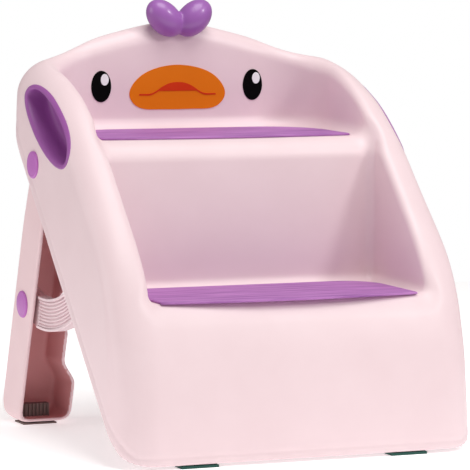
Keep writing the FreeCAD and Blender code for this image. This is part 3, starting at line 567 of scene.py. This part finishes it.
def stay_ring(section, degrees, side):
    """The section turned about the hinge, so many degrees behind straight down."""
    angle = math.radians(degrees)
    ring = [(side * (STAY_X + x), PIVOT_Y + r * math.sin(angle), PIVOT_Z - r * math.cos(angle))
            for r, x in section]
    return np.array(ring[::-1] if side > 0 else ring)


# across the plain end of the stay
WEB = [(STAY_INNER + 0.5, -4.5), (STAY_INNER, -4), (STAY_INNER, 4), (STAY_INNER + 0.5, 4.4),
       (STAY_OUTER - 0.5, 4.4), (STAY_OUTER, 4), (STAY_OUTER, -4), (STAY_OUTER - 0.5, -4.5)]
for label, side in SIDES:
    section = stay_section()
    rings = [stay_ring(section, degrees, side) for degrees in np.linspace(STAY_TIP, STAY_END, 60)]
    points, faces = rings_mesh(rings)
    rings = [stay_ring(WEB, degrees, side) for degrees in np.linspace(STAY_END - 1, STAY_ROOT, 24)]
    more, more_faces = rings_mesh(rings)
    faces += [tuple(v + len(points) for v in f) for f in more_faces]
    add_piece(f"stay_{label}_arc", np.concatenate([points, more]), faces, f"arc_stay_{label}", "legs",
              stay_pink, smooth=False)


# ---------------------------------------------------------------- small parts kept from the frame

KEPT = {"beak": beak_orange, "mouth": mouth_red}
for label, _ in SIDES:
    KEPT.update({
        f"eye_{label}": eye_black, f"eye_glint_{label}": eye_white, f"pivot_pin_{label}": steel,
        f"pivot_clip_{label}": steel, f"stay_pin_{label}": steel, f"pivot_washer_{label}": nylon,
        f"foot_grip_{label}": grip_grey, f"front_pad_{label}": pad_green,
    })
for node, material in KEPT.items():
    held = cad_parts[node].data.materials
    held.clear()
    held.append(material)


# ---------------------------------------------------------------- floor, light and camera

FLOOR_HALF = 1.1  # metres; the white backdrop begins beyond it
floor_mesh = bpy.data.meshes.new("floor")
corners = [(x * FLOOR_HALF, y * FLOOR_HALF, 0) for x, y in ((-1, -1), (1, -1), (1, 1), (-1, 1))]
floor_mesh.from_pydata(corners, [], [(0, 1, 2, 3)])
floor = bpy.data.objects.new("floor", floor_mesh)
bpy.context.collection.objects.link(floor)
pale = make_material("pale_floor", (250, 250, 250), (253, 253, 253), rough=(0.8, 0.9), bump=0.02,
                     specular=0.1)
pale_shader = pale.node_tree.nodes["Principled BSDF"]
pale_shader.inputs["Emission Color"].default_value = (1, 1, 1, 1)
pale_shader.inputs["Emission Strength"].default_value = 0.4
floor_mesh.materials.append(pale)

world = bpy.data.worlds.new("studio")
bpy.context.scene.world = world
world.use_nodes = True
sky, sky_links = world.node_tree.nodes, world.node_tree.links
soft = sky["Background"]
soft.inputs["Color"].default_value = (1, 0.92, 0.91, 1)
soft.inputs["Strength"].default_value = 0.3
backdrop = sky.new("ShaderNodeBackground")
backdrop.inputs["Color"].default_value = (1, 1, 1, 1)
path, choose = sky.new("ShaderNodeLightPath"), sky.new("ShaderNodeMixShader")
sky_links.new(path.outputs["Is Camera Ray"], choose.inputs["Fac"])
sky_links.new(soft.outputs["Background"], choose.inputs[1])
sky_links.new(backdrop.outputs["Background"], choose.inputs[2])
sky_links.new(choose.outputs["Shader"], sky["World Output"].inputs["Surface"])


def add_light(name, place, aim, size, power, colour=(1, 1, 1)):
    lamp = bpy.data.lights.new(name, "AREA")
    lamp.shape, lamp.size, lamp.energy, lamp.color = "DISK", size, power, colour
    light = bpy.data.objects.new(name, lamp)
    bpy.context.collection.objects.link(light)
    light.location = place
    light.rotation_euler = (Vector(aim) - Vector(place)).to_track_quat("-Z", "Y").to_euler()


add_light("key", (1.3, -1.45, 1.6), (0, 0, 0.2), 0.5, 14.5, (0.99, 1, 0.99))
add_light("fill", (-2.3, 0.35, 0.9), (0, 0, 0.2), 1.4, 13.5)
add_light("top", (0.1, -0.5, 2.0), (0, 0, 0.25), 1.4, 24, (0.99, 1, 0.99))

YAW, PITCH, ROLL = math.radians(25.0), math.radians(5.8), math.radians(-0.77)
ahead = Vector((math.sin(YAW) * math.cos(PITCH), math.cos(YAW) * math.cos(PITCH), -math.sin(PITCH)))
level = Vector((math.cos(YAW), -math.sin(YAW), 0))
upward = level.cross(ahead)
right = level * math.cos(ROLL) - upward * math.sin(ROLL)
up = level * math.sin(ROLL) + upward * math.cos(ROLL)
lens = bpy.data.cameras.new("camera")
lens.sensor_width, lens.lens = 36.0, 268.1
camera = bpy.data.objects.new("camera", lens)
bpy.context.collection.objects.link(camera)
turn = Matrix((right, up, -ahead)).transposed().to_4x4()
camera.matrix_world = Matrix.Translation((-1.4459, -3.1029, 0.5464)) @ turn
bpy.context.scene.camera = camera
bpy.context.scene.view_settings.view_transform = "Standard"
